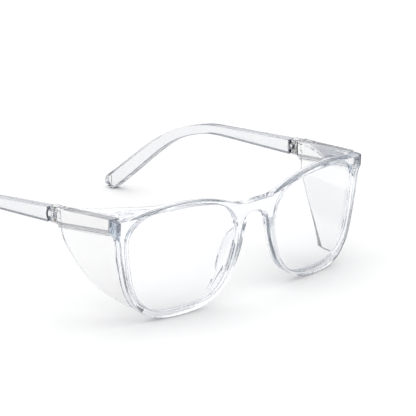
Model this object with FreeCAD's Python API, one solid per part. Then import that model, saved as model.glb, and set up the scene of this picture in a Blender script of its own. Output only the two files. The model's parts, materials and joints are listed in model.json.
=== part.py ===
import FreeCAD, Part

import math
import os

# Safety spectacles with side shields: a clear moulded front with a wrap curve and a forward
# tilt, two lenses held in a groove, short side arms with shields, and two folding temples.
# Millimetres. +Z is up, the front faces -Y, the wearer's left is +X.
# While it is built, X = 0 is the plane of symmetry, Y = 0 the front of the bridge and
# Z = 0 the eye line, from which heights on the front are measured. The finished model is
# then lifted until it stands on its rims and centred over its footprint.

V = FreeCAD.Vector

# Front
WRAP_RADIUS = 265.0          # plan radius of the outer front surface
FRONT_TILT = 3.45            # degrees that the top of the front leans forward
FRONT_THICKNESS = 4.2
HALF_WIDTH = 68.2            # bridge centre to the outer face of the end piece
END_PIECE_TOP = -2.4         # top of the end piece
END_PIECE_HEIGHT = 4.7
BRIDGE_TOP = -4.9
BRIDGE_HEIGHT = 5.3
BROW_HEIGHT = 2.05           # rim above the lens opening at the crest of the brow line
RIM_FOOT = 2.5               # rim below the lens opening
NOSE_HALF_GAP = 6.5          # half the gap under the bridge
NASAL_RIM = 3.9              # edge of that gap to the lens opening
END_PIECE_WIDTH = 5.7        # lens opening to the outer face of the end piece

# Lens openings and lenses
OPENING_TOP = -1.3
OPENING_HEIGHT = 41.1
GROOVE_DEPTH = 0.6           # how far the lens edge reaches into the rim
GROOVE_SETBACK = 1.2         # front lip ahead of the lens
LENS_THICKNESS = 2.0
LENS_CLEARANCE = 0.05        # between the lens edge and the floor of its groove

# Side arms, shields and brow shields
ARM_THICKNESS = 4.5
ARM_RISE = 0.4               # top of the arm above the top of the end piece
ARM_FRONT_HEIGHT = 5.3
ARM_REAR_HEIGHT = 6.4
ARM_END = 41.9               # where the arms stop, behind the bridge front
ARM_SPLAY = 1.9              # degrees outward
ARM_DROOP = 2.85             # degrees down towards the rear
SHIELD_WALL = 1.4
SHIELD_SETBACK = 0.5         # rearmost point of the side shield ahead of the arm's end
SHIELD_SPLAY = 4.2           # degrees that the shield opens outward
SHIELD_OVERLAP = 1.2         # step of the shield inside the outline of the rim
SHIELD_RAIL = 1.4            # height of the rail that joins the shield to the arm
BROW_WALL = 1.6
BROW_SETBACK = 1.4           # rear end of the brow shield ahead of the arm's end
BROW_INNER = 44.0            # inner end of the brow shield on the rim
BROW_RISE = 5.0              # degrees that the brow shield climbs inward
PAD_WALL = 1.7
PAD_DEPTH = 3.6              # how far the nose pads stand behind the front
PAD_FLARE = 25.0             # degrees outward

# Hinges
HINGE_CLEARANCE = 0.2        # above and below the centre knuckle
KNUCKLE_RADIUS = 2.2
KNUCKLE_STANDOFF = 2.65      # hinge axis to the end of the arm and of the temple
CENTRE_KNUCKLE_HEIGHT = 2.4
SCREW_RADIUS = 0.7
SCREW_CLEARANCE = 0.05       # radial, in the centre knuckle
SCREW_HEAD_RADIUS = 1.3
SCREW_HEAD_HEIGHT = 0.8
INSERT_RADIUS = 1.2
INSERT_LIP = 0.3             # plastic left below the threaded insert
DRIVE_SLOT_WIDTH = 0.35
DRIVE_SLOT_DEPTH = 0.35

# Temples
TEMPLE_THICKNESS = 4.6
TEMPLE_ROOT_HEIGHT = 6.4
TEMPLE_STEP = 0.4            # top of the temple below the top of the arm
TEMPLE_STRAIGHT = 42.5       # straight run behind the hinge
TEMPLE_WAIST = 4.1           # height where the straight run ends
BEND_RADIUS = 66.0
EAR_ANGLE = 40.0             # degrees below the horizontal
EAR_HEIGHT = 6.3
BOW_OFFSET = 35.5            # hinge axis to where the temples begin to curve inward
BOW_RADIUS = 330.0

# Tooling margins of the cutting bodies, larger than anything they cut
FAR = 400.0
MARGIN = 12.0

# Sizes that follow from the ones above
OPENING_INNER = NOSE_HALF_GAP + NASAL_RIM
OPENING_OUTER = HALF_WIDTH - END_PIECE_WIDTH
OPENING_BOTTOM = OPENING_TOP - OPENING_HEIGHT
BROW_CREST = OPENING_TOP + BROW_HEIGHT
RIM_BOTTOM = OPENING_BOTTOM - RIM_FOOT
SHIELD_REACH = ARM_END - SHIELD_SETBACK
BROW_REACH = ARM_END - BROW_SETBACK


def spline(points, periodic=False):
    """Edge through the given points."""
    curve = Part.BSplineCurve()
    curve.interpolate([V(*p) for p in points], PeriodicFlag=periodic)
    return curve.toShape()


def guided_spline(points, start, end):
    """Edge through the given points that leaves and arrives along the given directions."""
    curve = Part.BSplineCurve()
    curve.interpolate([V(*p) for p in points], InitialTangent=V(*start), FinalTangent=V(*end))
    return curve.toShape()


def polyline(points):
    """Open wire of straight runs."""
    return Part.makePolygon([V(*p) for p in points])


def prism(edges, direction):
    """Solid made by pushing a closed outline along a vector."""
    return Part.Face(Part.Wire(edges)).extrude(V(*direction))


def mirrored(shape):
    """The same piece for the other side of the face."""
    return shape.mirror(V(0, 0, 0), V(1, 0, 0))


def tilt(shape):
    """Lean the front forward about the eye line at the bridge."""
    turned = shape.copy()
    turned.rotate(V(0, 0, 0), V(1, 0, 0), FRONT_TILT)
    return turned


def wrap_body(depth):
    """Everything behind the surface that lies the given depth behind the front."""
    height = 4 * MARGIN + BROW_CREST - RIM_BOTTOM
    base = V(0, WRAP_RADIUS, RIM_BOTTOM - 2 * MARGIN)
    return Part.makeCylinder(WRAP_RADIUS - depth, height, base, V(0, 0, 1))


def wrap_shell(front_depth, rear_depth):
    """Curved sheet between two depths behind the front surface."""
    return wrap_body(front_depth).cut(wrap_body(rear_depth))


def across(share):
    """X at a share of the lens opening's width, from its inner side."""
    return OPENING_INNER + share * (OPENING_OUTER - OPENING_INNER)


def up(share):
    """Z at a share of the lens opening's height above the bottom of the rim."""
    return RIM_BOTTOM + share * OPENING_HEIGHT


def opening_edge(growth=0.0):
    """Edge of the left lens opening, grown outward by the given amount."""
    # Shares of the opening's width and height, round the rim from the outer side
    shape = [
        (1.00, 0.72), (0.97, 0.86), (0.88, 0.95), (0.70, 0.995), (0.46, 1.00), (0.25, 0.97),
        (0.10, 0.90), (0.02, 0.77), (0.00, 0.60), (0.03, 0.41), (0.09, 0.23), (0.18, 0.10),
        (0.30, 0.025), (0.48, 0.00), (0.67, 0.005), (0.80, 0.06), (0.90, 0.18), (0.96, 0.37),
        (0.985, 0.55),
    ]
    points = [(across(a), 0, OPENING_BOTTOM + b * OPENING_HEIGHT) for a, b in shape]
    closed = [points[-1]] + points + [points[0]]
    return spline(inset(closed, -growth)[1:-1], periodic=True)


def nasal_points():
    """Outer edge of the left rim from the bridge arch down to the nasal corner."""
    return [
        (NOSE_HALF_GAP * 0.68, 0, BRIDGE_TOP - BRIDGE_HEIGHT - 1.0),
        (NOSE_HALF_GAP, 0, BRIDGE_TOP - BRIDGE_HEIGHT - 5.0),
        (NOSE_HALF_GAP + 1.1, 0, BRIDGE_TOP - BRIDGE_HEIGHT - 10.3),
        (across(-0.008), 0, up(0.423)), (across(0.065), 0, up(0.255)),
        (across(0.175), 0, up(0.119)), (across(0.319), 0, up(0.032)),
    ]


def temporal_points():
    """Outer edge of the left rim from the bottom up to the end piece."""
    return [
        (across(0.491), 0, RIM_BOTTOM), (across(0.683), 0, up(0.002)),
        (across(0.818), 0, up(0.051)), (across(0.914), 0, up(0.153)),
        (across(0.990), 0, up(0.333)), (across(1.029), 0, up(0.533)),
        (across(1.056), 0, up(0.703)),
        (HALF_WIDTH - 1.2, 0, END_PIECE_TOP - END_PIECE_HEIGHT - 1.5),
        (HALF_WIDTH, 0, END_PIECE_TOP - END_PIECE_HEIGHT),
    ]


def brow_points():
    """Top edge of the front from the bridge out to the end piece."""
    return [
        (across(-0.027), 0, BRIDGE_TOP + 0.2), (across(0.069), 0, BRIDGE_TOP + 1.7),
        (across(0.192), 0, BROW_CREST - 2.1), (across(0.319), 0, BROW_CREST - 0.75),
        (across(0.461), 0, BROW_CREST - 0.1), (across(0.614), 0, BROW_CREST - 0.05),
        (across(0.750), 0, BROW_CREST - 0.75), (across(0.914), 0, END_PIECE_TOP + 0.8),
        (across(1.010), 0, END_PIECE_TOP + 0.2), (HALF_WIDTH, 0, END_PIECE_TOP),
    ]


def both_sides(half):
    """Points of a half outline, mirrored ones first, without the centre."""
    return [(-x, y, z) for x, y, z in reversed(half)]


def front_outline():
    """Closed outline of the whole front, seen from the front."""
    top = brow_points()
    upper = spline(both_sides(top) + [(0, 0, BRIDGE_TOP)] + top)
    low = nasal_points() + temporal_points()
    arch = (0, 0, BRIDGE_TOP - BRIDGE_HEIGHT)
    lower = spline(both_sides(low) + [arch] + low)
    ends = []
    for side in (-1, 1):
        lug_top = V(side * HALF_WIDTH, 0, END_PIECE_TOP)
        lug_foot = V(side * HALF_WIDTH, 0, END_PIECE_TOP - END_PIECE_HEIGHT)
        ends.append(Part.makeLine(lug_top, lug_foot))
    return Part.sortEdges([upper, lower] + ends)[0]


def make_lens(allowance):
    """Left lens, or the groove that holds it when the allowance is the clearance."""
    edge = opening_edge(GROOVE_DEPTH - LENS_CLEARANCE + allowance)
    block = prism([edge], (0, 3 * MARGIN, 0))
    shell = wrap_shell(GROOVE_SETBACK, GROOVE_SETBACK + LENS_THICKNESS)
    return block.common(shell)


def make_front():
    """Rims, bridge and end pieces in one moulding, with a groove for each lens."""
    blank = prism(front_outline(), (0, 3 * MARGIN, 0)).common(wrap_shell(0, FRONT_THICKNESS))
    window = prism([opening_edge()], (0, 3 * MARGIN, 0))
    groove = make_lens(LENS_CLEARANCE)
    for tool in (window, mirrored(window), groove, mirrored(groove)):
        blank = blank.cut(tool)
    return blank


def wall_strip(points, wall, splay, start, reach):
    """Curved wall that follows an outline, pushed back and outward by the splay."""
    outer = spline(points)
    inner = spline([(x - wall * nx, y, z - wall * nz) for (x, y, z), (nx, nz)
                    in zip(points, outward_normals(points))])
    ends = [
        Part.makeLine(outer.Vertexes[0].Point, inner.Vertexes[0].Point),
        Part.makeLine(outer.Vertexes[-1].Point, inner.Vertexes[-1].Point),
    ]
    strip = Part.sortEdges([outer, inner] + ends)[0]
    shift = math.tan(math.radians(splay))
    body = prism(strip, (reach * shift, reach, 0))
    body.translate(V(start * shift, start, 0))
    return body


def outward_normals(points):
    """Unit normals of an outline in the XZ plane, pointing away from the lens."""
    centre_x = (OPENING_INNER + OPENING_OUTER) / 2
    centre_z = (OPENING_TOP + OPENING_BOTTOM) / 2
    normals = []
    for i, (x, _, z) in enumerate(points):
        before = points[max(i - 1, 0)]
        after = points[min(i + 1, len(points) - 1)]
        dx = after[0] - before[0]
        dz = after[2] - before[2]
        size = math.hypot(dx, dz)
        nx, nz = dz / size, -dx / size
        if nx * (x - centre_x) + nz * (z - centre_z) < 0:
            nx, nz = -nx, -nz
        normals.append((nx, nz))
    return normals


def inset(points, amount):
    """Outline moved towards the lens."""
    return [(x - amount * nx, y, z - amount * nz) for (x, y, z), (nx, nz)
            in zip(points, outward_normals(points))]


def behind_front():
    """Space behind the rear surface of the tilted front."""
    return tilt(wrap_body(FRONT_THICKNESS))


def arm_origin():
    """Top outer corner of the end piece on the rear of the front."""
    inner_radius = WRAP_RADIUS - FRONT_THICKNESS
    y = WRAP_RADIUS - math.sqrt(inner_radius ** 2 - HALF_WIDTH ** 2)
    t = math.radians(FRONT_TILT)
    top = END_PIECE_TOP
    return (HALF_WIDTH, y * math.cos(t) - top * math.sin(t), y * math.sin(t) + top * math.cos(t))


def arm_outer_x(y):
    """Outer face of the arm and of the straight run of the temple."""
    x0, y0, _ = arm_origin()
    return x0 + (y - y0) * math.tan(math.radians(ARM_SPLAY))


def arm_top_z(y):
    """Top edge of the arm and of the straight run of the temple."""
    _, y0, z0 = arm_origin()
    return z0 + ARM_RISE - (y - y0) * math.tan(math.radians(ARM_DROOP))


def arm_foot_z(y):
    """Bottom edge of the arm, which grows taller towards the hinge."""
    _, y0, _ = arm_origin()
    front = arm_top_z(y0) - ARM_FRONT_HEIGHT
    rear = arm_top_z(ARM_END) - ARM_REAR_HEIGHT
    return front + (rear - front) * (y - y0) / (ARM_END - y0)


def arm_bar(top_drop, foot_drop, end):
    """Straight bar along the left arm, between two depths below its top and foot lines."""
    start = arm_origin()[1] - MARGIN
    side = polyline([
        (0, start, arm_top_z(start) - top_drop), (0, end, arm_top_z(end) - top_drop),
        (0, end, arm_foot_z(end) - foot_drop), (0, start, arm_foot_z(start) - foot_drop),
        (0, start, arm_top_z(start) - top_drop),
    ])
    outer, inner = arm_outer_x(start), arm_outer_x(end)
    plan = polyline([
        (outer, start, -FAR / 2), (inner, end, -FAR / 2), (inner - ARM_THICKNESS, end, -FAR / 2),
        (outer - ARM_THICKNESS, start, -FAR / 2), (outer, start, -FAR / 2),
    ])
    bar = Part.Face(side).extrude(V(FAR, 0, 0))
    return bar.common(Part.Face(plan).extrude(V(0, 0, FAR))).common(behind_front())


def hinge_axis():
    """Centre of the left hinge in plan, with its top and bottom."""
    y = ARM_END + KNUCKLE_STANDOFF
    x = arm_outer_x(y) - ARM_THICKNESS / 2
    top = arm_top_z(ARM_END)
    return x, y, top, top - ARM_REAR_HEIGHT


def hinge_levels():
    """Bottom and top of the upper, centre and lower knuckle."""
    _, _, top, foot = hinge_axis()
    middle = (top + foot) / 2
    half = CENTRE_KNUCKLE_HEIGHT / 2
    upper = (middle + half + HINGE_CLEARANCE, top)
    lower = (foot, middle - half - HINGE_CLEARANCE)
    return upper, (middle - half, middle + half), lower


def knuckle(level, reach):
    """Barrel on the hinge axis with a web that reaches to the given Y."""
    x, y, _, _ = hinge_axis()
    low, high = level
    barrel = Part.makeCylinder(KNUCKLE_RADIUS, high - low, V(x, y, low))
    near, far = sorted((y, reach))
    web = Part.makeBox(2 * KNUCKLE_RADIUS, far - near, high - low,
                       V(x - KNUCKLE_RADIUS, near, low))
    return barrel.fuse(web)


def pin(radius, low, high):
    """Cylinder on the hinge axis."""
    x, y, _, _ = hinge_axis()
    return Part.makeCylinder(radius, high - low, V(x, y, low))


def make_arm():
    """Left side arm with the upper and lower knuckle of its hinge."""
    bar = arm_bar(0, 0, ARM_END)
    upper, _, lower = hinge_levels()
    bar = bar.fuse(knuckle(upper, ARM_END - 0.5)).fuse(knuckle(lower, ARM_END - 0.5))
    bar = bar.removeSplitter()
    bar = bar.cut(pin(SCREW_RADIUS, *upper))
    bar = bar.cut(pin(SCREW_HEAD_RADIUS, upper[1] - SCREW_HEAD_HEIGHT, upper[1]))
    return bar.cut(pin(INSERT_RADIUS, lower[0] + INSERT_LIP, lower[1]))


def make_screw():
    """Slotted screw of the left hinge, its head sunk in the upper knuckle."""
    x, y, _, _ = hinge_axis()
    upper, _, lower = hinge_levels()
    shank = pin(SCREW_RADIUS, lower[0] + INSERT_LIP, upper[1] - SCREW_HEAD_HEIGHT)
    head = pin(SCREW_HEAD_RADIUS, upper[1] - SCREW_HEAD_HEIGHT, upper[1])
    slot = Part.makeBox(4 * SCREW_HEAD_RADIUS, DRIVE_SLOT_WIDTH, DRIVE_SLOT_DEPTH,
                        V(x - 2 * SCREW_HEAD_RADIUS, y - DRIVE_SLOT_WIDTH / 2,
                          upper[1] - DRIVE_SLOT_DEPTH))
    return shank.fuse(head).removeSplitter().cut(slot)


def make_insert():
    """Threaded bush in the lower knuckle of the left hinge."""
    _, _, lower = hinge_levels()
    low, high = lower[0] + INSERT_LIP, lower[1]
    return pin(INSERT_RADIUS, low, high).cut(pin(SCREW_RADIUS, low, high))


def make_side_shield(arm):
    """Left side shield: it follows the rim, hangs on a rail under the arm and sweeps down."""
    edge = inset(temporal_points()[1:], SHIELD_OVERLAP)[1:]
    band = tilt(wall_strip(edge, SHIELD_WALL, SHIELD_SPLAY, 0, SHIELD_REACH + MARGIN))
    y0 = arm_origin()[1]
    top = arm_foot_z(0)
    reach = SHIELD_REACH
    drop = RIM_BOTTOM + 1.9
    foot_y = y0 - FRONT_THICKNESS / 2
    # Rear edge: steep below the arm, then curving forward to the foot of the rim
    rear = spline([
        (0, reach, arm_foot_z(reach)), (0, reach, 0.29 * drop), (0, 0.98 * reach, 0.37 * drop),
        (0, 0.84 * reach, 0.61 * drop), (0, 0.66 * reach, 0.80 * drop),
        (0, 0.48 * reach, 0.92 * drop), (0, foot_y, drop),
    ])
    ends = polyline([
        (0, foot_y, drop), (0, -MARGIN, drop), (0, -MARGIN, top), (0, reach, arm_foot_z(reach)),
    ])
    profile = Part.Wire([rear] + ends.Edges)
    side = Part.Face(profile).extrude(V(FAR, 0, 0))
    shield = band.common(side).common(behind_front()).cut(arm)
    rail = arm_bar(ARM_FRONT_HEIGHT / 2, SHIELD_RAIL, reach).cut(arm)
    return largest(shield.fuse(rail).removeSplitter())


def make_brow_shield(front, arm):
    """Left brow shield: a thin ledge that fills the corner between the brow and the arm."""
    x0, y0, z0 = arm_origin()
    # Plan outline; its rear edge is hollow
    inner_y = BROW_INNER ** 2 / (2 * WRAP_RADIUS)
    rear_x = arm_outer_x(BROW_REACH) - ARM_THICKNESS
    rear = spline([
        (rear_x + 0.5, BROW_REACH, 0), (rear_x - 1.4, BROW_REACH - 6.0, 0),
        (rear_x - 6.0, y0 + 13.0, 0), (BROW_INNER + 9.0, y0 + 4.5, 0),
        (BROW_INNER + 3.5, inner_y + FRONT_THICKNESS + 3.2, 0),
        (BROW_INNER - 4.0, inner_y + FRONT_THICKNESS - 0.6, 0),
    ])
    ends = polyline([
        (BROW_INNER - 4.0, inner_y + FRONT_THICKNESS - 0.6, 0), (BROW_INNER - 4.0, -MARGIN, 0),
        (rear_x + 0.5, -MARGIN, 0), (rear_x + 0.5, BROW_REACH, 0),
    ])
    plate = prism([rear] + ends.Edges, (0, 0, -BROW_WALL))
    plate.rotate(V(rear_x, 0, 0), V(0, 1, 0), BROW_RISE)
    plate.rotate(V(rear_x, y0, 0), V(1, 0, 0), -ARM_DROOP)
    plate.translate(V(0, 0, z0 + ARM_RISE + 0.15))
    plate = plate.common(behind_front()).cut(arm)
    limit = prism(front_outline(), (0, 6 * MARGIN, 0))
    return largest(plate.common(tilt(limit)))


def make_nose_pad():
    """Left nose pad: a low flared wall behind the nasal side of the rim."""
    points = nasal_points()[1:]
    band = wall_strip(inset(points, 0.3), PAD_WALL, PAD_FLARE, 0, 3 * MARGIN)
    seat = FRONT_THICKNESS
    top = points[0][2]
    foot = points[-1][2]
    rise = top - foot
    rear = spline([
        (0, seat - 1.0, top + 1.0), (0, seat + 0.75 * PAD_DEPTH, top - 0.12 * rise),
        (0, seat + PAD_DEPTH, top - 0.35 * rise), (0, seat + 0.72 * PAD_DEPTH, top - 0.62 * rise),
        (0, seat + 0.2, top - 0.92 * rise), (0, seat - 1.0, foot - 1.0),
    ])
    ends = polyline([
        (0, seat - 1.0, foot - 1.0), (0, -MARGIN, foot - 1.0), (0, -MARGIN, top + 1.0),
        (0, seat - 1.0, top + 1.0),
    ])
    side = Part.Face(Part.Wire([rear] + ends.Edges)).extrude(V(FAR, 0, 0))
    return largest(tilt(band.common(side).common(wrap_body(FRONT_THICKNESS))))


def largest(shape):
    """The biggest solid of a cut, without loose slivers."""
    return max(shape.Solids, key=lambda solid: solid.Volume)


def temple_stations(floor):
    """Centreline points, directions and heights of the temple, hinge to tip."""
    _, y, top, _ = hinge_axis()
    start_y = y + KNUCKLE_STANDOFF
    a1 = math.radians(ARM_DROOP)
    a2 = math.radians(EAR_ANGLE)
    z = top - TEMPLE_STEP - TEMPLE_ROOT_HEIGHT / 2
    stations = [(start_y, z, a1, TEMPLE_ROOT_HEIGHT)]
    bend_y = start_y + TEMPLE_STRAIGHT * math.cos(a1)
    bend_z = z - TEMPLE_STRAIGHT * math.sin(a1)
    spread = EAR_HEIGHT - TEMPLE_WAIST
    for share, growth in ((0.0, 0.0), (0.33, 0.0), (0.67, 0.25), (1.0, 0.68)):
        a = a1 + share * (a2 - a1)
        stations.append((bend_y + BEND_RADIUS * (math.sin(a) - math.sin(a1)),
                         bend_z - BEND_RADIUS * (math.cos(a1) - math.cos(a)),
                         a, TEMPLE_WAIST + growth * spread))
    last_y, last_z = stations[-1][0], stations[-1][1]
    # The ear piece runs on until its rounded end rests on the floor
    ear = (last_z - EAR_HEIGHT / 2 - floor) / math.sin(a2)
    for share, growth in ((0.5, 0.92), (1.0, 1.0)):
        stations.append((last_y + share * ear * math.cos(a2), last_z - share * ear * math.sin(a2),
                         a2, TEMPLE_WAIST + growth * spread))
    return stations


def temple_side(floor):
    """Side outline of the temple."""
    upper, lower = [], []
    for y, z, a, height in temple_stations(floor):
        ny, nz = math.sin(a) * height / 2, math.cos(a) * height / 2
        upper.append((0, y + ny, z + nz))
        lower.append((0, y - ny, z - nz))
    y, z, a, height = temple_stations(floor)[-1]
    tip = V(0, y + math.cos(a) * height / 2, z - math.sin(a) * height / 2)
    root_y = upper[0][1] - math.sin(math.radians(ARM_DROOP)) * TEMPLE_ROOT_HEIGHT / 2
    upper[0] = (0, root_y, upper[0][2])
    lower[0] = (0, root_y, lower[0][2])
    cap = Part.Arc(V(*upper[-1]), tip, V(*lower[-1])).toShape()
    edges = [cap, Part.makeLine(V(*upper[0]), V(*lower[0]))]
    for side in (upper, lower):
        along = (V(*side[1]) - V(*side[0])).normalize()
        edges.append(Part.makeLine(V(*side[0]), V(*side[1])))
        edges.append(guided_spline(side[1:], along, (0, math.cos(a), -math.sin(a))))
    return Part.Face(Part.Wire(Part.sortEdges(edges)[0]))


def temple_plan():
    """Slab between the outer and inner face of the temple, straight and then bowed inward."""
    _, y, _, _ = hinge_axis()
    start = y - MARGIN
    bow_y = y + BOW_OFFSET
    end = bow_y + 1.6 * BEND_RADIUS + TEMPLE_STRAIGHT
    splay = math.radians(ARM_SPLAY)
    sides = []
    for depth in (0.0, TEMPLE_THICKNESS):
        radius = BOW_RADIUS - depth
        x1 = arm_outer_x(bow_y) - depth * math.cos(splay)
        y1 = bow_y + depth * math.sin(splay)
        x0 = arm_outer_x(start) - depth * math.cos(splay)
        y0 = start + depth * math.sin(splay)
        cx = x1 - radius * math.cos(splay)
        cy = y1 + radius * math.sin(splay)
        turn = (end - bow_y) / BOW_RADIUS
        arc = []
        for share in (0.5, 1.0):
            b = share * turn - splay
            arc.append(V(cx + radius * math.cos(b), cy + radius * math.sin(b), -FAR / 2))
        sides.append((V(x0, y0, -FAR / 2), V(x1, y1, -FAR / 2), arc[0], arc[1]))
    edges = []
    for first, second, middle, last in sides:
        edges.append(Part.makeLine(first, second))
        edges.append(Part.Arc(second, middle, last).toShape())
    edges.append(Part.makeLine(sides[0][0], sides[1][0]))
    edges.append(Part.makeLine(sides[0][3], sides[1][3]))
    return Part.Face(Part.Wire(Part.sortEdges(edges)[0])).extrude(V(0, 0, FAR))


def make_temple(floor):
    """Left temple with the centre knuckle of its hinge."""
    _, y, _, _ = hinge_axis()
    _, centre, _ = hinge_levels()
    bar = temple_side(floor).extrude(V(FAR, 0, 0)).common(temple_plan())
    bar = bar.fuse(knuckle(centre, y + KNUCKLE_STANDOFF + 0.5)).removeSplitter()
    return bar.cut(pin(SCREW_RADIUS + SCREW_CLEARANCE, *centre))


def build():
    """All pieces of the spectacles, by name."""
    front = tilt(make_front())
    floor = front.BoundBox.ZMin
    arm = make_arm()
    halves = {
        "lens": tilt(make_lens(0.0)),
        "side_arm": arm,
        "side_shield": make_side_shield(arm),
        "brow_shield": make_brow_shield(front, arm),
        "nose_pad": make_nose_pad(),
        "hinge_screw": make_screw(),
        "hinge_insert": make_insert(),
        "temple": make_temple(floor),
    }
    pieces = {"front_frame": front}
    for name, half in halves.items():
        pieces[name + "_left"] = half
        pieces[name + "_right"] = mirrored(half)
    whole = Part.makeCompound(list(pieces.values())).BoundBox
    home = V(0, -(whole.YMin + whole.YMax) / 2, -floor)
    for name in pieces:
        pieces[name] = pieces[name].copy()
        pieces[name].translate(home)
    x, y, top, foot = hinge_axis()
    print("hinge axis x %.3f y %.3f z %.3f to %.3f" % (x, y + home.y, foot + home.z, top + home.z))
    return pieces


def main():
    """Write every piece as its own STEP file."""
    os.makedirs("parts", exist_ok=True)
    for name, shape in build().items():
        solids = shape.Solids
        box = shape.BoundBox
        print("%-20s solids %d volume %8.1f valid %s  x %.1f..%.1f y %.1f..%.1f z %.1f..%.1f" % (
            name, len(solids), shape.Volume, shape.isValid(),
            box.XMin, box.XMax, box.YMin, box.YMax, box.ZMin, box.ZMax))
        shape.exportStep("parts/" + name + ".step")


if __name__ == "__main__":
    main()
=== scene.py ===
import json
import logging
import math
from dataclasses import dataclass
from enum import Enum
from typing import Callable, Iterable, Sequence, Union

import bpy
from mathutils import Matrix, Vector

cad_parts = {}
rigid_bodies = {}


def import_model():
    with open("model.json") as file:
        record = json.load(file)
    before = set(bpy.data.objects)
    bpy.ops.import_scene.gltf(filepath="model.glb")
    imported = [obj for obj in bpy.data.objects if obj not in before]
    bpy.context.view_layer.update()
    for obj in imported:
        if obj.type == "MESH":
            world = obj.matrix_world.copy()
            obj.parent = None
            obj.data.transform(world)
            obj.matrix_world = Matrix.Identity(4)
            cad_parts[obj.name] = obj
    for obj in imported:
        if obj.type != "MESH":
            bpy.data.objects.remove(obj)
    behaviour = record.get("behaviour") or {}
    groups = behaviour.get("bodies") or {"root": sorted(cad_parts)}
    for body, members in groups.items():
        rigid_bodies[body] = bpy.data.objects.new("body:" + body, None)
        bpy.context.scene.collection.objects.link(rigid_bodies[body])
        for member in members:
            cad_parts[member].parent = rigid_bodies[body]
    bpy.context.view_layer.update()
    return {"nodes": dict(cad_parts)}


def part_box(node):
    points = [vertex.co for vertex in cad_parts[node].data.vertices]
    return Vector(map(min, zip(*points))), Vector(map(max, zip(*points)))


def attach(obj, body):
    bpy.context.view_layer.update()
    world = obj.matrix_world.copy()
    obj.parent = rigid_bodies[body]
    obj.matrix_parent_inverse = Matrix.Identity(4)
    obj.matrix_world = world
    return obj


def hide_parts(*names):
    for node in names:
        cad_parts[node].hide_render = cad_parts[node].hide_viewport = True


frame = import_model()

log = logging.getLogger("spectacles")
MM = 0.001
BEHIND_FRONT = -64.0    # millimetres; the front lies on the near side of this, the arms behind
SMOOTHING = 0.5         # share of the way that a smoothing pass moves a point
Triple = tuple[float, float, float]


# ------------------------------------------------------------------------------ shader maths


class Value:
    """A node output that takes part in ordinary arithmetic."""

    def __init__(self, tree: bpy.types.NodeTree, out: bpy.types.NodeSocket) -> None:
        """Wrap one output.

        Args:
            tree: node tree that the output belongs to.
            out: the output socket.
        """
        self.tree = tree
        self.out = out

    def _math(self, operation: str, *terms: Union["Value", float]) -> "Value":
        """Add one Math node.

        Args:
            operation: Math node operation.
            terms: its inputs, in order.

        Returns:
            The node's output.
        """
        node = self.tree.nodes.new("ShaderNodeMath")
        node.operation = operation
        for slot, term in zip(node.inputs, terms):
            if isinstance(term, Value):
                self.tree.links.new(term.out, slot)
            else:
                slot.default_value = term
        return Value(self.tree, node.outputs[0])

    def __add__(self, other: Union["Value", float]) -> "Value":
        """Sum."""
        return self._math("ADD", self, other)

    __radd__ = __add__

    def __sub__(self, other: Union["Value", float]) -> "Value":
        """Difference."""
        return self._math("SUBTRACT", self, other)

    def __rsub__(self, other: Union["Value", float]) -> "Value":
        """Difference from a number."""
        return self._math("SUBTRACT", other, self)

    def __mul__(self, other: Union["Value", float]) -> "Value":
        """Product."""
        return self._math("MULTIPLY", self, other)

    __rmul__ = __mul__

    def __truediv__(self, other: Union["Value", float]) -> "Value":
        """Quotient."""
        return self._math("DIVIDE", self, other)

    def __neg__(self) -> "Value":
        """Sign change."""
        return self._math("MULTIPLY", self, -1.0)

    def clamp(self) -> "Value":
        """Limited to 0..1."""
        low = self._math("MAXIMUM", self, 0.0)
        return low._math("MINIMUM", low, 1.0)

    def size(self) -> "Value":
        """Absolute value."""
        return self._math("ABSOLUTE", self)

    def step(self, start: float, end: float) -> "Value":
        """Straight ramp from 0 at start to 1 at end."""
        return ((self - start) / (end - start)).clamp()


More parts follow.
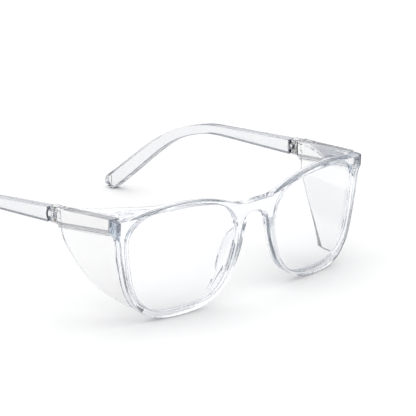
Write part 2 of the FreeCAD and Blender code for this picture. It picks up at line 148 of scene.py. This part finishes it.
class Graph:
    """A material's node tree with one method that makes any node."""

    def __init__(self, name: str) -> None:
        """Start an empty material.

        Args:
            name: the material's name.
        """
        self.material = bpy.data.materials.new(name)
        self.material.use_nodes = True
        self.tree = self.material.node_tree
        self.tree.nodes.clear()

    def node(self, kind: str, settings: dict | None = None, **inputs: object) -> bpy.types.Node:
        """Make a node, set it, then fill its inputs.

        Args:
            kind: node type without the ShaderNode prefix.
            settings: node properties, or ramp stops under "stops".
            inputs: socket name, spaces written as underscores, to a value or a link.

        Returns:
            The new node.
        """
        made = self.tree.nodes.new("ShaderNode" + kind)
        for key, value in (settings or {}).items():
            if key == "stops":
                ramp = made.color_ramp
                while len(ramp.elements) < len(value):
                    ramp.elements.new(0.5)
                for element, (place, colour) in zip(ramp.elements, value):
                    element.position = place
                    element.color = (*colour, 1.0)
            else:
                setattr(made, key, value)
        for key, value in inputs.items():
            wanted = key.replace("_", " ")
            for slot in made.inputs:
                if slot.name == wanted and slot.enabled:
                    break
            else:
                raise KeyError(f"{kind} has no input {wanted}")
            if isinstance(value, Value):
                self.tree.links.new(value.out, slot)
            elif isinstance(value, bpy.types.NodeSocket):
                self.tree.links.new(value, slot)
            else:
                slot.default_value = value
        return made

    def value(self, kind: str, settings: dict | None = None, out: str = "Fac",
              **inputs: object) -> Value:
        """Make a node and take one of its outputs as a number.

        Args:
            kind: node type without the ShaderNode prefix.
            settings: node properties.
            out: output name.
            inputs: as for node.

        Returns:
            The output.
        """
        return Value(self.tree, self.node(kind, settings, **inputs).outputs[out])

    def place(self) -> bpy.types.NodeSocket:
        """Object coordinates in metres."""
        return self.node("TexCoord").outputs["Object"]

    def axes(self) -> tuple[Value, Value, Value]:
        """X, Y and Z of the surface in millimetres."""
        split = self.node("SeparateXYZ", Vector=self.place())
        return tuple(Value(self.tree, out) / MM for out in split.outputs)

    def blend(self, share: Union[Value, float], first: object, second: object) -> object:
        """Mix two colours.

        Args:
            share: 0 gives the first, 1 the second.
            first: colour or link.
            second: colour or link.

        Returns:
            The mixed colour output.
        """
        made = self.node("Mix", {"data_type": "RGBA"})
        for slot, value in ((made.inputs[0], share), (made.inputs[6], first),
                            (made.inputs[7], second)):
            if isinstance(value, Value):
                self.tree.links.new(value.out, slot)
            elif isinstance(value, bpy.types.NodeSocket):
                self.tree.links.new(value, slot)
            elif isinstance(value, tuple):
                slot.default_value = (*value, 1.0)
            else:
                slot.default_value = value
        return made.outputs[2]

    def finish(self, surface: bpy.types.Node, volume: bpy.types.Node | None = None
               ) -> bpy.types.Material:
        """Connect the output.

        Args:
            surface: the surface shader.
            volume: the volume shader, if any.

        Returns:
            The finished material.
        """
        end = self.node("OutputMaterial", Surface=surface.outputs[0])
        if volume:
            self.tree.links.new(volume.outputs[0], end.inputs["Volume"])
        return self.material


# ------------------------------------------------------------------------------ finishes


@dataclass(frozen=True)
class ClearPlastic:
    """Polished clear plastic: faint cast, moulding ripple, handling haze and hair scratches, with
    optional painted shade.
    """

    name: str
    clean: Triple                   # cast of clean plastic, once for each surface crossed; the greys of arms, shields and temples are partly painted shade
    hazed: Triple                   # cast where the polish is duller
    depth_colour: Triple            # colour that long paths through the plastic take on
    depth: float                    # strength of that colour, per metre
    roughness: float = 0.012
    haze: float = 0.05              # roughness added in the dull patches
    ripple: float = 0.02            # strength of the moulding ripple
    index: float = 1.53             # refractive index
    painted_corner_shade: Triple | None = None    # painted shade: dark blue-grey at the outer corners of the front
    under: Triple | None = None     # painted shade on the faces that look down
    edge: Triple | None = None      # painted shade on the edge wall all round a lens

    def cast(self, g: Graph, patch: Value) -> object:
        """Cast of the surface: duller in the patches, with painted shade on downward faces, lens
        edges and at the end pieces.

        Args:
            g: graph to build in.
            patch: mask of the dull patches.

        Returns:
            Output for the Base Color.
        """
        cast = g.blend(patch, self.clean, self.hazed)
        facing = g.node("TexCoord").outputs["Normal"]
        _, front, up = (Value(g.tree, out) for out in g.node("SeparateXYZ", Vector=facing).outputs)
        # painted shade: darker on faces that look down
        if self.under is not None:
            cast = g.blend((-up).step(0.6, 0.9), cast, self.under)
        # painted shade: a dark line on the edge wall round a lens
        if self.edge is not None:
            cast = g.blend(1.0 - front.size().step(0.3, 0.6), cast, self.edge)
        if self.painted_corner_shade is None:
            return cast
        # painted shade: a dark blue-grey block at the outer corners of the front, the end pieces
        x, y, z = g.axes()
        side = x.size().step(66.0, 66.8) * z.step(35.6, 36.4) * (1.0 - y.step(-62.5, -61.5))
        return g.blend(side * (1.0 - z.step(43.6, 44.4)), cast, self.painted_corner_shade)

    def material(self) -> bpy.types.Material:
        """Build the shader."""
        g = Graph(self.name)
        place = g.place()
        patch = g.value("TexNoise", {"noise_dimensions": "3D"}, Vector=place, Scale=90.0,
                        Detail=4.0, Roughness=0.6).step(0.45, 0.75)
        grain = g.value("TexNoise", {"noise_dimensions": "3D"}, Vector=place, Scale=900.0,
                        Detail=3.0, Roughness=0.6)
        stretched = g.node("Mapping", Vector=place, Rotation=(0.4, 0.2, 0.7),
                           Scale=(40.0, 1500.0, 1500.0)).outputs[0]
        hair = g.value("TexNoise", {"noise_dimensions": "3D"}, Vector=stretched, Scale=1.0,
                       Detail=1.0).step(0.70, 0.74)
        swell = g.value("TexNoise", {"noise_dimensions": "3D"}, Vector=place, Scale=140.0,
                        Detail=1.0)
        height = swell + grain * 0.02 - hair * 0.05
        bump = g.node("Bump", Strength=self.ripple, Distance=0.4 * MM, Height=height)
        surface = g.node(
            "BsdfPrincipled", Base_Color=self.cast(g, patch),
            Roughness=self.roughness + patch * self.haze * 0.3 + hair * self.haze,
            IOR=self.index, Transmission_Weight=1.0, Normal=bump.outputs[0])
        inside = g.node("VolumeAbsorption", Color=(*self.depth_colour, 1.0), Density=self.depth)
        return g.finish(surface, inside)


@dataclass(frozen=True)
class TurnedMetal:
    """Small turned metal part with fine turning lines and dull edges."""

    name: str
    colour: Triple
    worn: Triple
    roughness: float

    def material(self) -> bpy.types.Material:
        """Build the shader."""
        g = Graph(self.name)
        place = g.place()
        _, _, z = g.axes()
        lines = g.value("TexNoise", {"noise_dimensions": "1D"}, W=z * 9.0, Scale=1.0, Detail=2.0)
        stain = g.value("TexNoise", {"noise_dimensions": "3D"}, Vector=place, Scale=1400.0,
                        Detail=4.0).step(0.4, 0.7)
        bump = g.node("Bump", Strength=0.15, Distance=0.05 * MM, Height=lines)
        surface = g.node("BsdfPrincipled", Base_Color=g.blend(stain, self.colour, self.worn),
                         Metallic=1.0, Roughness=self.roughness + stain * 0.12,
                         Normal=bump.outputs[0])
        return g.finish(surface)


@dataclass(frozen=True)
class PaleTable:
    """Matt white table top with the faintest mottling."""

    name: str = "pale_table"
    shade: float = 0.93

    def material(self) -> bpy.types.Material:
        """Build the shader."""
        g = Graph(self.name)
        mottle = g.value("TexNoise", {"noise_dimensions": "3D"}, Vector=g.place(), Scale=6.0)
        low = tuple(self.shade * v for v in (0.995, 0.995, 1.0))
        high = (self.shade, self.shade, self.shade)
        surface = g.node("BsdfPrincipled", Base_Color=g.blend(mottle, low, high), Roughness=0.85)
        return g.finish(surface)


class Finish(Enum):
    """The finishes of the spectacles, by the record's material slot."""

    FRAME = ("clear_frame", "rims")
    ARM = ("clear_frame", "arms")
    LENS = ("clear_lens", "lenses")
    SHIELD = ("clear_shield", "shields")
    TEMPLE = ("clear_temple", "temples")
    SCREW = ("screw", "screws")
    INSERT = ("insert", "inserts")

    def dress(self, piece: bpy.types.Object) -> None:
        """Give a piece this finish.

        Args:
            piece: the piece to dress.
        """
        if self not in _made:
            _made[self] = RECIPES[self].material()
        piece.data.materials.clear()
        piece.data.materials.append(_made[self])


_made: dict[Finish, bpy.types.Material] = {}
RECIPES: dict[Finish, Union[ClearPlastic, TurnedMetal]] = {
    # rims: painted shade in dark blue-grey at the outer corners of the front
    Finish.FRAME: ClearPlastic("clear_frame_plastic", (0.97, 0.975, 0.982), (0.955, 0.96, 0.97),
                               (0.45, 0.52, 0.64), 12.0, painted_corner_shade=(0.30, 0.36, 0.45)),
    # arms: the grey cast is partly the plastic's own tint and partly painted shade, darker than the
    # rims of the same plastic; the undersides carry painted shade
    Finish.ARM: ClearPlastic("clear_arm_plastic", (0.85, 0.847, 0.843), (0.83, 0.827, 0.823),
                             (0.5, 0.52, 0.56), 10.0, ripple=0.008, under=(0.12, 0.12, 0.13)),
    # lenses: the dark edge wall round each lens is painted shade
    Finish.LENS: ClearPlastic("clear_lens_plastic", (0.985, 0.987, 0.99), (0.978, 0.98, 0.985),
                              (0.75, 0.8, 0.85), 12.0, ripple=0.004, haze=0.02,
                              edge=(0.3, 0.33, 0.37)),
    # shields: the grey cast is partly the plastic's own tint and partly painted shade
    Finish.SHIELD: ClearPlastic("clear_shield_plastic", (0.9, 0.9, 0.9), (0.88, 0.88, 0.88),
                                (0.5, 0.55, 0.62), 12.0, ripple=0.006),
    # temples: the grey cast is partly the plastic's own tint and partly painted shade; the
    # near-black undersides are painted shade
    Finish.TEMPLE: ClearPlastic("clear_temple_plastic", (0.84, 0.84, 0.845), (0.82, 0.82, 0.825),
                                (0.45, 0.5, 0.6), 14.0, ripple=0.008,
                                under=(0.03, 0.035, 0.045)),
    Finish.SCREW: TurnedMetal("steel_screw", (0.95, 0.95, 0.96), (0.8, 0.8, 0.82), 0.4),
    Finish.INSERT: TurnedMetal("plated_insert", (0.95, 0.945, 0.93), (0.8, 0.79, 0.77), 0.45),
}


# ------------------------------------------------------------------------------ modelling


def ramp(value: float, start: float, end: float) -> float:
    """Straight ramp from 0 at start to 1 at end.

    Args:
        value: place on the ramp.
        start: where it leaves 0.
        end: where it reaches 1.

    Returns:
        A number from 0 to 1.
    """
    return min(max((value - start) / (end - start), 0.0), 1.0)


def deselect() -> None:
    """Nothing selected and no active object."""
    for other in bpy.data.objects:
        other.select_set(False)
    bpy.context.view_layer.objects.active = None


def activate(piece: bpy.types.Object) -> None:
    """Select one object alone.

    Args:
        piece: object to select.
    """
    deselect()
    piece.select_set(True)
    bpy.context.view_layer.objects.active = piece


def copy_of(nodes: Sequence[str], name: str) -> bpy.types.Object:
    """Join loose copies of CAD nodes into one new object with merged corners.

    Args:
        nodes: the CAD nodes.
        name: name of the new object.

    Returns:
        The new object.
    """
    copies = []
    for node in nodes:
        source = frame["nodes"][node]
        twin = bpy.data.objects.new(name, source.data.copy())
        bpy.context.scene.collection.objects.link(twin)
        copies.append(twin)
    deselect()
    for twin in copies:
        twin.select_set(True)
    bpy.context.view_layer.objects.active = copies[0]
    if len(copies) > 1:
        bpy.ops.object.join()
    piece = bpy.context.object
    piece.name = name
    piece.data.name = name
    bpy.ops.object.mode_set(mode="EDIT")
    bpy.ops.mesh.select_all(action="SELECT")
    bpy.ops.mesh.customdata_custom_splitnormals_clear()
    bpy.ops.mesh.remove_doubles(threshold=0.002 * MM)
    bpy.ops.object.mode_set(mode="OBJECT")
    return piece


def apply(piece: bpy.types.Object, kind: str, **settings: object) -> None:
    """Add a modifier and apply it.

    Args:
        piece: object to change.
        kind: modifier type.
        settings: modifier properties.
    """
    activate(piece)
    modifier = piece.modifiers.new(kind.lower(), kind)
    for key, value in settings.items():
        setattr(modifier, key, value)
    bpy.ops.object.modifier_apply(modifier=modifier.name)


def mark(piece: bpy.types.Object, name: str, inside: Callable[[Vector], float]) -> str:
    """Make a vertex group weighted by place.

    Args:
        piece: object to mark.
        name: name of the group.
        inside: weight of a point given in millimetres.

    Returns:
        The group's name.
    """
    group = piece.vertex_groups.new(name=name)
    for vertex in piece.data.vertices:
        weight = inside(vertex.co / MM)
        if weight > 0:
            group.add([vertex.index], min(weight, 1.0), "REPLACE")
    return name


def keep_largest(piece: bpy.types.Object) -> None:
    """Delete loose crumbs and inner bubbles left by a remesh.

    Args:
        piece: object to clean.
    """
    activate(piece)
    mesh = piece.data
    parent = list(range(len(mesh.vertices)))

    def root(i: int) -> int:
        """Representative of the island that holds a vertex."""
        while parent[i] != i:
            parent[i] = parent[parent[i]]
            i = parent[i]
        return i

    for edge in mesh.edges:
        a, b = root(edge.vertices[0]), root(edge.vertices[1])
        if a != b:
            parent[a] = b
    roots = [root(i) for i in range(len(parent))]
    sizes: dict[int, int] = {}
    for r in roots:
        sizes[r] = sizes.get(r, 0) + 1
    biggest = max(sizes, key=sizes.get)
    log.info("%s: %d islands", piece.name, len(sizes))
    if len(sizes) > 1:
        bpy.ops.object.mode_set(mode="EDIT")
        bpy.ops.mesh.select_mode(type="VERT")
        bpy.ops.mesh.select_all(action="DESELECT")
        bpy.ops.object.mode_set(mode="OBJECT")
        for i, r in enumerate(roots):
            mesh.vertices[i].select = r != biggest
        bpy.ops.object.mode_set(mode="EDIT")
        bpy.ops.mesh.delete(type="VERT")
        bpy.ops.object.mode_set(mode="OBJECT")


def tidy_facets(piece: bpy.types.Object, degrees: float = 0.3) -> None:
    """Dissolve the edges between facets that lie in one plane.

    Args:
        piece: object to clean.
        degrees: largest angle between facets of one plane.
    """
    activate(piece)
    bpy.ops.object.mode_set(mode="EDIT")
    bpy.ops.mesh.select_all(action="SELECT")
    bpy.ops.mesh.dissolve_limited(angle_limit=math.radians(degrees))
    bpy.ops.object.mode_set(mode="OBJECT")


def break_edges(piece: bpy.types.Object, width: float, segments: int,
                sharp: float = 40.0) -> None:
    """Round the sharp edges.

    Args:
        piece: object to change.
        width: full width of the rounding, in millimetres.
        segments: facets across the rounding.
        sharp: smallest angle of an edge that is rounded, in degrees.
    """
    activate(piece)
    bpy.ops.object.mode_set(mode="EDIT")
    bpy.ops.mesh.select_mode(type="EDGE")
    bpy.ops.mesh.select_all(action="DESELECT")
    bpy.ops.mesh.edges_select_sharp(sharpness=math.radians(sharp))
    bpy.ops.object.mode_set(mode="OBJECT")
    mesh = piece.data
    weights = mesh.attributes.new("bevel_weight_edge", "FLOAT", "EDGE")
    for edge in mesh.edges:
        if edge.select:
            weights.data[edge.index].value = 1.0
    apply(piece, "BEVEL", width=width * MM, segments=segments, limit_method="WEIGHT",
          use_clamp_overlap=False, miter_outer="MITER_ARC")


def shade(piece: bpy.types.Object, degrees: float = 30.0) -> None:
    """Shade smooth with creases, the broad faces keeping their own direction.

    Args:
        piece: object to shade.
        degrees: crease angle.
    """
    activate(piece)
    bpy.ops.object.shade_smooth_by_angle(angle=math.radians(degrees))
    apply(piece, "WEIGHTED_NORMAL", mode="FACE_AREA", weight=100, keep_sharp=True)


# ------------------------------------------------------------------------------ the pieces


@dataclass
class FusedFront:
    """Rims, bridge, end pieces, brow ledges and nose pads, moulded in one with soft edges."""

    voxel: float = 0.17             # millimetres
    passes: int = 14                # smoothing of every edge
    late_passes: int = 18           # smoothing after thinning
    soft_passes: int = 25           # extra smoothing of the brow line and the bridge
    limit: int = 190000             # most triangles

    def nodes(self) -> list[str]:
        """CAD nodes that the moulding stands for."""
        paired = ("brow_shield", "nose_pad")
        return ["front_frame"] + [f"{n}_{s}" for n in paired for s in ("left", "right")]

    @staticmethod
    def softness(p: Vector) -> float:
        """How round the moulding's edges are at a point.

        Args:
            p: point in millimetres.

        Returns:
            0 for crisp to 1 for fully rounded.
        """
        across = abs(p.x)
        brow = ramp(p.z, 37.0, 40.0) * ramp(-across, -56.0, -46.0)
        bridge = ramp(-across, -16.0, -10.0) * ramp(p.z, 24.0, 30.0)
        front = 1.0 if p.y < BEHIND_FRONT else 0.0
        return max(brow, bridge) * front

    def build(self) -> bpy.types.Object:
        """Fuse the nodes, round the edges and dress the moulding."""
        piece = copy_of(self.nodes(), "front_moulding")
        apply(piece, "REMESH", mode="VOXEL", voxel_size=self.voxel * MM, use_smooth_shade=True)
        keep_largest(piece)
        apply(piece, "SMOOTH", factor=SMOOTHING, iterations=self.passes)
        group = mark(piece, "soft", self.softness)
        apply(piece, "SMOOTH", factor=SMOOTHING, iterations=self.soft_passes, vertex_group=group)
        piece.vertex_groups.clear()
        triangles = 2 * len(piece.data.polygons)
        if triangles > self.limit:
            apply(piece, "DECIMATE", ratio=self.limit / triangles)
            apply(piece, "SMOOTH", factor=SMOOTHING, iterations=self.late_passes)
        activate(piece)
        bpy.ops.object.shade_smooth()
        Finish.FRAME.dress(piece)
        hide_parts(*self.nodes())
        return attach(piece, "front")


@dataclass
class Moulding:
    """A clear plastic piece: the CAD shape with rounded edges, seated a hair off its neighbours."""

    node: str
    body: str
    finish: Finish
    width: float = 0.5              # rounding in millimetres
    segments: int = 3
    seat: Triple = (0.0, 0.0, 0.0)  # shift in millimetres that keeps touching faces apart

    def build(self) -> bpy.types.Object:
        """Round, seat and dress the piece."""
        piece = copy_of([self.node], f"{self.node}_moulded")
        tidy_facets(piece)
        break_edges(piece, self.width, self.segments)
        bpy.ops.object.mode_set(mode="EDIT")
        bpy.ops.mesh.select_all(action="SELECT")
        bpy.ops.transform.translate(value=tuple(v * MM for v in self.seat))
        bpy.ops.object.mode_set(mode="OBJECT")
        shade(piece)
        self.finish.dress(piece)
        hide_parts(self.node)
        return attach(piece, self.body)


@dataclass
class Fastener:
    """A hinge screw or its threaded insert, with broken edges."""

    kind: str
    side: str
    finish: Finish
    edge: float = 0.06

    def build(self) -> bpy.types.Object:
        """Break the edges of the metal part and dress it."""
        node = f"hinge_{self.kind}_{self.side}"
        piece = copy_of([node], f"{node}_turned")
        tidy_facets(piece, 2.0)
        break_edges(piece, self.edge, 2)
        shade(piece, 35.0)
        self.finish.dress(piece)
        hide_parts(node)
        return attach(piece, "front")


@dataclass
class Spectacles:
    """All pieces of the spectacles."""

    gap: float = 0.05               # air between touching mouldings, in millimetres

    def half(self, side: str) -> list[Union[Moulding, Fastener]]:
        """Pieces of one side.

        Args:
            side: "left" or "right", as the wearer sees it.

        Returns:
            Builders of that side's pieces.
        """
        out = 1.0 if side == "left" else -1.0
        g = self.gap
        return [
            Moulding(f"lens_{side}", "front", Finish.LENS, 0.15, 1),
            Moulding(f"side_arm_{side}", "front", Finish.ARM, 0.35, seat=(out * g, g, 0.0)),
            Moulding(f"side_shield_{side}", "front", Finish.SHIELD, 0.3, 2,
                     seat=(0.0, g, -g)),
            Moulding(f"temple_{side}", f"temple_{side}_body", Finish.TEMPLE, 0.6),
            Fastener("screw", side, Finish.SCREW),
            Fastener("insert", side, Finish.INSERT),
        ]

    def build(self) -> None:
        """Build every piece and report it."""
        builders: list[Union[FusedFront, Moulding, Fastener]] = [FusedFront()]
        for side in ("left", "right"):
            builders += self.half(side)
        for builder in builders:
            piece = builder.build()
            log.info("%s: %d faces", piece.name, len(piece.data.polygons))


# ------------------------------------------------------------------------------ the studio


@dataclass
class Studio:
    """Pale table, soft all-round light and the camera."""

    table_size: float = 8.0         # metres
    table_drop: float = 0.2         # millimetres below the spectacles
    azimuth: float = -44.61         # degrees
    elevation: float = 17.04        # degrees
    distance: float = 1.42377       # metres
    focal: float = 319.1            # millimetres
    aim_side: float = -28.01        # millimetres from the plane of symmetry
    aim_drop: float = 3.5           # millimetres below the top of the brow
    sky: float = 1.3
    room: Triple = (0.16, 0.18, 0.22)   # the room below the light, the same all round
    horizon: tuple[float, float] = (0.14, 0.40)  # sines where the light starts and is full
    bounces: int = 40               # enough for light to cross thick clear plastic many times

    def table(self) -> None:
        """Lay the table just under the spectacles."""
        deselect()
        bpy.ops.mesh.primitive_plane_add(size=self.table_size,
                                         location=(0.0, 0.0, -self.table_drop * MM))
        top = bpy.context.object
        top.name = "table_top"
        bpy.ops.object.transform_apply(location=True, rotation=True, scale=True)
        top.data.materials.append(PaleTable().material())

    def light(self) -> None:
        """White dome over a darker room, the same all round."""
        world = bpy.data.worlds.new("soft_room")
        bpy.context.scene.world = world
        world.use_nodes = True
        tree = world.node_tree
        back = tree.nodes["Background"]
        where = tree.nodes.new("ShaderNodeTexCoord").outputs["Generated"]
        split = tree.nodes.new("ShaderNodeSeparateXYZ")
        tree.links.new(where, split.inputs[0])
        height = Value(tree, split.outputs[2])
        dome = tree.nodes.new("ShaderNodeMix")
        dome.data_type = "RGBA"
        tree.links.new(height.step(*self.horizon).out, dome.inputs[0])
        dome.inputs[6].default_value = (*self.room, 1.0)
        dome.inputs[7].default_value = (1.0, 1.0, 1.0, 1.0)
        tree.links.new(dome.outputs[2], back.inputs[0])
        back.inputs[1].default_value = self.sky

    def camera(self) -> None:
        """Place the camera."""
        low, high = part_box("front_frame")
        aim = Vector((self.aim_side * MM, low.y, high.z - self.aim_drop * MM))
        a, e = math.radians(self.azimuth), math.radians(self.elevation)
        out = Vector((math.sin(a) * math.cos(e), -math.cos(a) * math.cos(e), math.sin(e)))
        data = bpy.data.cameras.new("camera")
        seat = bpy.data.objects.new("camera", data)
        bpy.context.scene.collection.objects.link(seat)
        seat.location = aim + out * self.distance
        seat.rotation_euler = (-out).to_track_quat("-Z", "Y").to_euler()
        data.lens = self.focal
        data.sensor_width = 36.0
        data.clip_start = 0.01
        data.clip_end = 30.0
        bpy.context.scene.camera = seat

    def build(self) -> None:
        """Set the whole studio up."""
        self.table()
        self.light()
        self.camera()
        bpy.context.scene.view_settings.view_transform = "Standard"
        light = bpy.context.scene.cycles
        light.max_bounces = light.transmission_bounces = light.glossy_bounces = self.bounces


def main() -> None:
    """Build the spectacles and the studio."""
    logging.basicConfig(level=logging.INFO, format="%(message)s")
    Spectacles().build()
    Studio().build()


if __name__ == "__main__":
    main()
